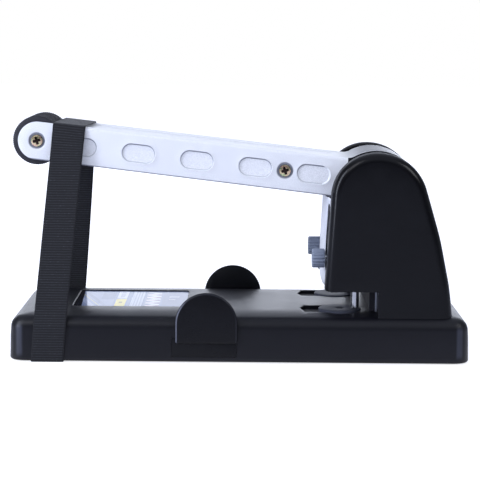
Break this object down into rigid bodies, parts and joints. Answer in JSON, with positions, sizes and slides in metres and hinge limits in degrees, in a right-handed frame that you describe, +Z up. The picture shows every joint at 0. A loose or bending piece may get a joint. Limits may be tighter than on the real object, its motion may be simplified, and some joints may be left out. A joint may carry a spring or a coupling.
{
  "type": "hole punch",
  "caption": "Heavy-duty desk punch for standard round filing holes, with a long channel handle, roller grip, hollow punches, turning cutting discs, sliding paper guides and an elastic strap.",
  "frame": {"origin": "floor level under the centre of the base", "axes": "+X along the base from the grip end to the punch head, +Y across the base to the far paper guide, +Z up"},
  "size_m": [0.3956, 0.1612, 0.2073],
  "materials": {
    "base_plastic": "fine-grained satin black moulding",
    "cover_plastic": "fine-grained satin black moulding",
    "black_sheet": "black painted sheet",
    "label_face": null,
    "feet_rubber": "soft matte rubber",
    "panel_silver": "smooth silver paint",
    "chrome_steel": "polished",
    "frame_steel": "bright cold-rolled sheet",
    "stop_steel": "dull grey sheet",
    "cast_block": "machined",
    "bush_bronze": "sintered bronze",
    "spring_steel": "drawn wire",
    "zinc_screws": "yellow zinc plating",
    "plain_screws": "bright zinc plating",
    "handle_paint": "silver paint with a fine metallic grain",
    "lever_steel": "black oxide",
    "grip_rubber": "finely ribbed soft grip",
    "core_plastic": "moulded",
    "knob_plastic": "ribbed grey-blue moulding",
    "disc_plastic": "glossy light grey-blue",
    "guide_plastic": "fine-grained satin black moulding",
    "rack_nylon": "natural nylon",
    "strap_web": "woven elastic, charcoal with fine light dashes"
  },
  "bodies": {
    "base": {"base_housing": "base_plastic", "bottom_plate": "black_sheet", "bottom_screws": "plain_screws", "rubber_feet": "feet_rubber", "label_plate": "label_face", "chassis_plate": "black_sheet", "disc_pins": "plain_screws", "frame_plate_near": "frame_steel", "frame_plate_far": "frame_steel", "block_bolts": "plain_screws", "foot_bolts": "plain_screws", "paper_stop": "stop_steel", "punch_guide_block": "cast_block", "punch_bush_near": "bush_bronze", "punch_bush_far": "bush_bronze", "guide_rods": "chrome_steel", "return_spring_near": "spring_steel", "return_spring_far": "spring_steel", "front_panel": "panel_silver", "rear_panel": "panel_silver", "side_cover_near": "cover_plastic", "side_cover_far": "cover_plastic", "cover_screws": "plain_screws", "fulcrum_shaft": "chrome_steel", "shaft_clips": "spring_steel", "shaft_spacers": "rack_nylon", "rack_rail": "rack_nylon", "pinion_pin": "plain_screws", "elastic_strap": "strap_web"},
    "handle": {"handle_channel": "handle_paint", "lever_arm_near": "lever_steel", "lever_arm_far": "lever_steel", "lever_bushes": "bush_bronze", "crank_rollers": "chrome_steel", "crank_pin": "chrome_steel", "spacer_tube": "plain_screws", "handle_screws": "zinc_screws", "grip_axle": "chrome_steel", "grip_screws": "zinc_screws"},
    "grip": {"grip_core": "core_plastic", "grip_sleeve": "grip_rubber"},
    "carriage": {"punch_carrier": "cast_block", "yoke_plates": "lever_steel", "yoke_screws": "plain_screws", "punch_tube_near": "chrome_steel", "punch_tube_far": "chrome_steel"},
    "clamp_near": {"knob_near": "knob_plastic", "knob_stud_near": "plain_screws"},
    "clamp_far": {"knob_far": "knob_plastic", "knob_stud_far": "plain_screws"},
    "disc_near": {"cutting_disc_near": "disc_plastic"},
    "disc_far": {"cutting_disc_far": "disc_plastic"},
    "guide_near": {"paper_guide_near": "guide_plastic", "guide_rack_near": "rack_nylon"},
    "guide_far": {"paper_guide_far": "guide_plastic", "guide_rack_far": "rack_nylon"},
    "pinion": {"guide_pinion": "rack_nylon"}
  },
  "joints": [
    {"name": "handle_hinge", "type": "hinge", "parent": "base", "child": "handle", "pos_m": [0.118, 0, 0.14], "axis": [0, 1, 0], "range_deg": [0, 55], "deforming": ["elastic_strap"]},
    {"name": "grip_spin", "type": "hinge", "parent": "handle", "child": "grip", "pos_m": [-0.17694, 0, 0.18612], "axis": [0, 1, 0], "continuous": true},
    {"name": "punch_slide", "type": "slide", "parent": "base", "child": "carriage", "axis": [0, 0, 1], "range_m": [0, 0.0231], "deforming": ["return_spring_near", "return_spring_far"]},
    {"name": "clamp_turn_near", "type": "hinge", "parent": "carriage", "child": "clamp_near", "pos_m": [0.068, -0.04, 0.0862], "axis": [1, 0, 0], "range_deg": [0, 360]},
    {"name": "clamp_turn_far", "type": "hinge", "parent": "carriage", "child": "clamp_far", "pos_m": [0.068, 0.04, 0.0862], "axis": [1, 0, 0], "range_deg": [0, 360]},
    {"name": "disc_turn_near", "type": "hinge", "parent": "base", "child": "disc_near", "pos_m": [0.0874, -0.04, 0.0405], "axis": [0, 0, 1], "continuous": true},
    {"name": "disc_turn_far", "type": "hinge", "parent": "base", "child": "disc_far", "pos_m": [0.0874, 0.04, 0.0405], "axis": [0, 0, 1], "continuous": true},
    {"name": "guide_slide_near", "type": "slide", "parent": "base", "child": "guide_near", "axis": [0, -1, 0], "range_m": [0, 0.065]},
    {"name": "guide_slide_far", "type": "slide", "parent": "base", "child": "guide_far", "axis": [0, 1, 0], "range_m": [0, 0.065]},
    {"name": "pinion_turn", "type": "hinge", "parent": "base", "child": "pinion", "pos_m": [-0.0175, 0, 0.01], "axis": [0, 0, 1], "range_deg": [0, 621]}
  ],
  "couplings": [
    {"joint": "punch_slide", "follows": "handle_hinge", "m_per_rad": 0.02405},
    {"joint": "guide_slide_far", "follows": "guide_slide_near", "ratio": 1},
    {"joint": "pinion_turn", "follows": "guide_slide_near", "rad_per_m": 166.67}
  ]
}
